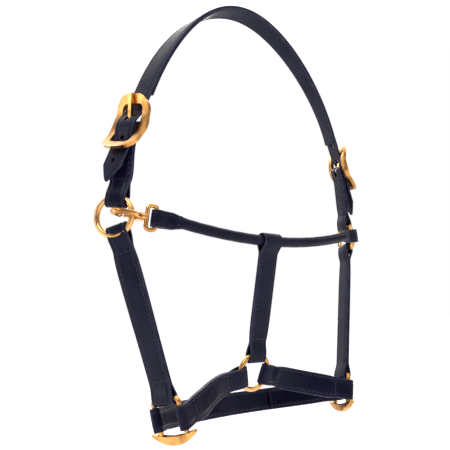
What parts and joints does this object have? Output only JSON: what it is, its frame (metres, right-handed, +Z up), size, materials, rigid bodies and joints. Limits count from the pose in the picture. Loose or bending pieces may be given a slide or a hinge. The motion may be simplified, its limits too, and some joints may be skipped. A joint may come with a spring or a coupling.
{
  "type": "leather headcollar",
  "caption": "Horse headcollar of doubled and rolled leather with cast buckles, rings, square fittings and a throat snap, held open by its crown",
  "frame": {"origin": "where the underside of the crown strap rests on the poll", "axes": "+Z up, +Y towards the nose, +X towards the off (right) side of the head"},
  "size_m": [0.3571, 0.101, 0.4833],
  "materials": {
    "bridle_leather": "satin, waxed, near-black navy",
    "lining_leather": "satin, near-black navy",
    "rolled_leather": "satin, near-black navy",
    "core_cord": "twisted cord",
    "cast_brass": "polished cast",
    "ring_brass": "polished",
    "tongue_brass": "polished",
    "snap_brass": "polished cast",
    "pin_steel": "plain"
  },
  "bodies": {
    "headcollar": {"crown_strap": "bridle_leather", "noseband": "bridle_leather", "connecting_strap": "bridle_leather", "chape_near": "bridle_leather", "chape_off": "bridle_leather", "cheek_strap_near": "bridle_leather", "cheek_strap_off": "bridle_leather", "chin_strap_near": "bridle_leather", "chin_strap_off": "bridle_leather", "crown_lining": "lining_leather", "noseband_lining": "lining_leather", "throat_strap": "rolled_leather", "throat_core": "core_cord", "buckle_frame_near": "cast_brass", "buckle_frame_off": "cast_brass", "square_near": "cast_brass", "square_off": "cast_brass", "snap_body": "snap_brass", "snap_pin": "pin_steel", "snap_spring": "pin_steel"},
    "near_tongue": {"buckle_tongue_near": "tongue_brass"},
    "off_tongue": {"buckle_tongue_off": "tongue_brass"},
    "near_cheek_ring": {"cheek_ring_near": "ring_brass"},
    "off_cheek_ring": {"cheek_ring_off": "ring_brass"},
    "chin_ring_body": {"chin_ring": "ring_brass"},
    "gate": {"snap_gate": "snap_brass"}
  },
  "joints": [
    {"name": "near_tongue_lift", "type": "hinge", "parent": "headcollar", "child": "near_tongue", "pos_m": [-0.153, 0.002, -0.174], "axis": [0.3423, -0.9097, -0.2349], "range_deg": [0, 14]},
    {"name": "near_cheek_ring_turn", "type": "hinge", "parent": "headcollar", "child": "near_cheek_ring", "pos_m": [-0.166, 0.01, -0.265], "axis": [-0.809, -0.5878, 0], "continuous": true},
    {"name": "off_tongue_lift", "type": "hinge", "parent": "headcollar", "child": "off_tongue", "pos_m": [0.153, 0.002, -0.174], "axis": [0.359, 0.9239, 0.1325], "range_deg": [0, 14]},
    {"name": "off_cheek_ring_turn", "type": "hinge", "parent": "headcollar", "child": "off_cheek_ring", "pos_m": [0.166, 0.01, -0.265], "axis": [0.9272, -0.3746, 0], "continuous": true},
    {"name": "chin_ring_turn", "type": "hinge", "parent": "headcollar", "child": "chin_ring_body", "pos_m": [0, 0.014, -0.424], "axis": [-0.0036, -0.9685, -0.249], "continuous": true},
    {"name": "snap_gate_open", "type": "hinge", "parent": "headcollar", "child": "gate", "pos_m": [-0.1475, -0.00028, -0.26578], "axis": [0.1351, -0.0368, 0.9901], "range_deg": [0, 22], "stiffness_Nm_per_rad": 0.02, "springref_deg": -5.73}
  ]
}
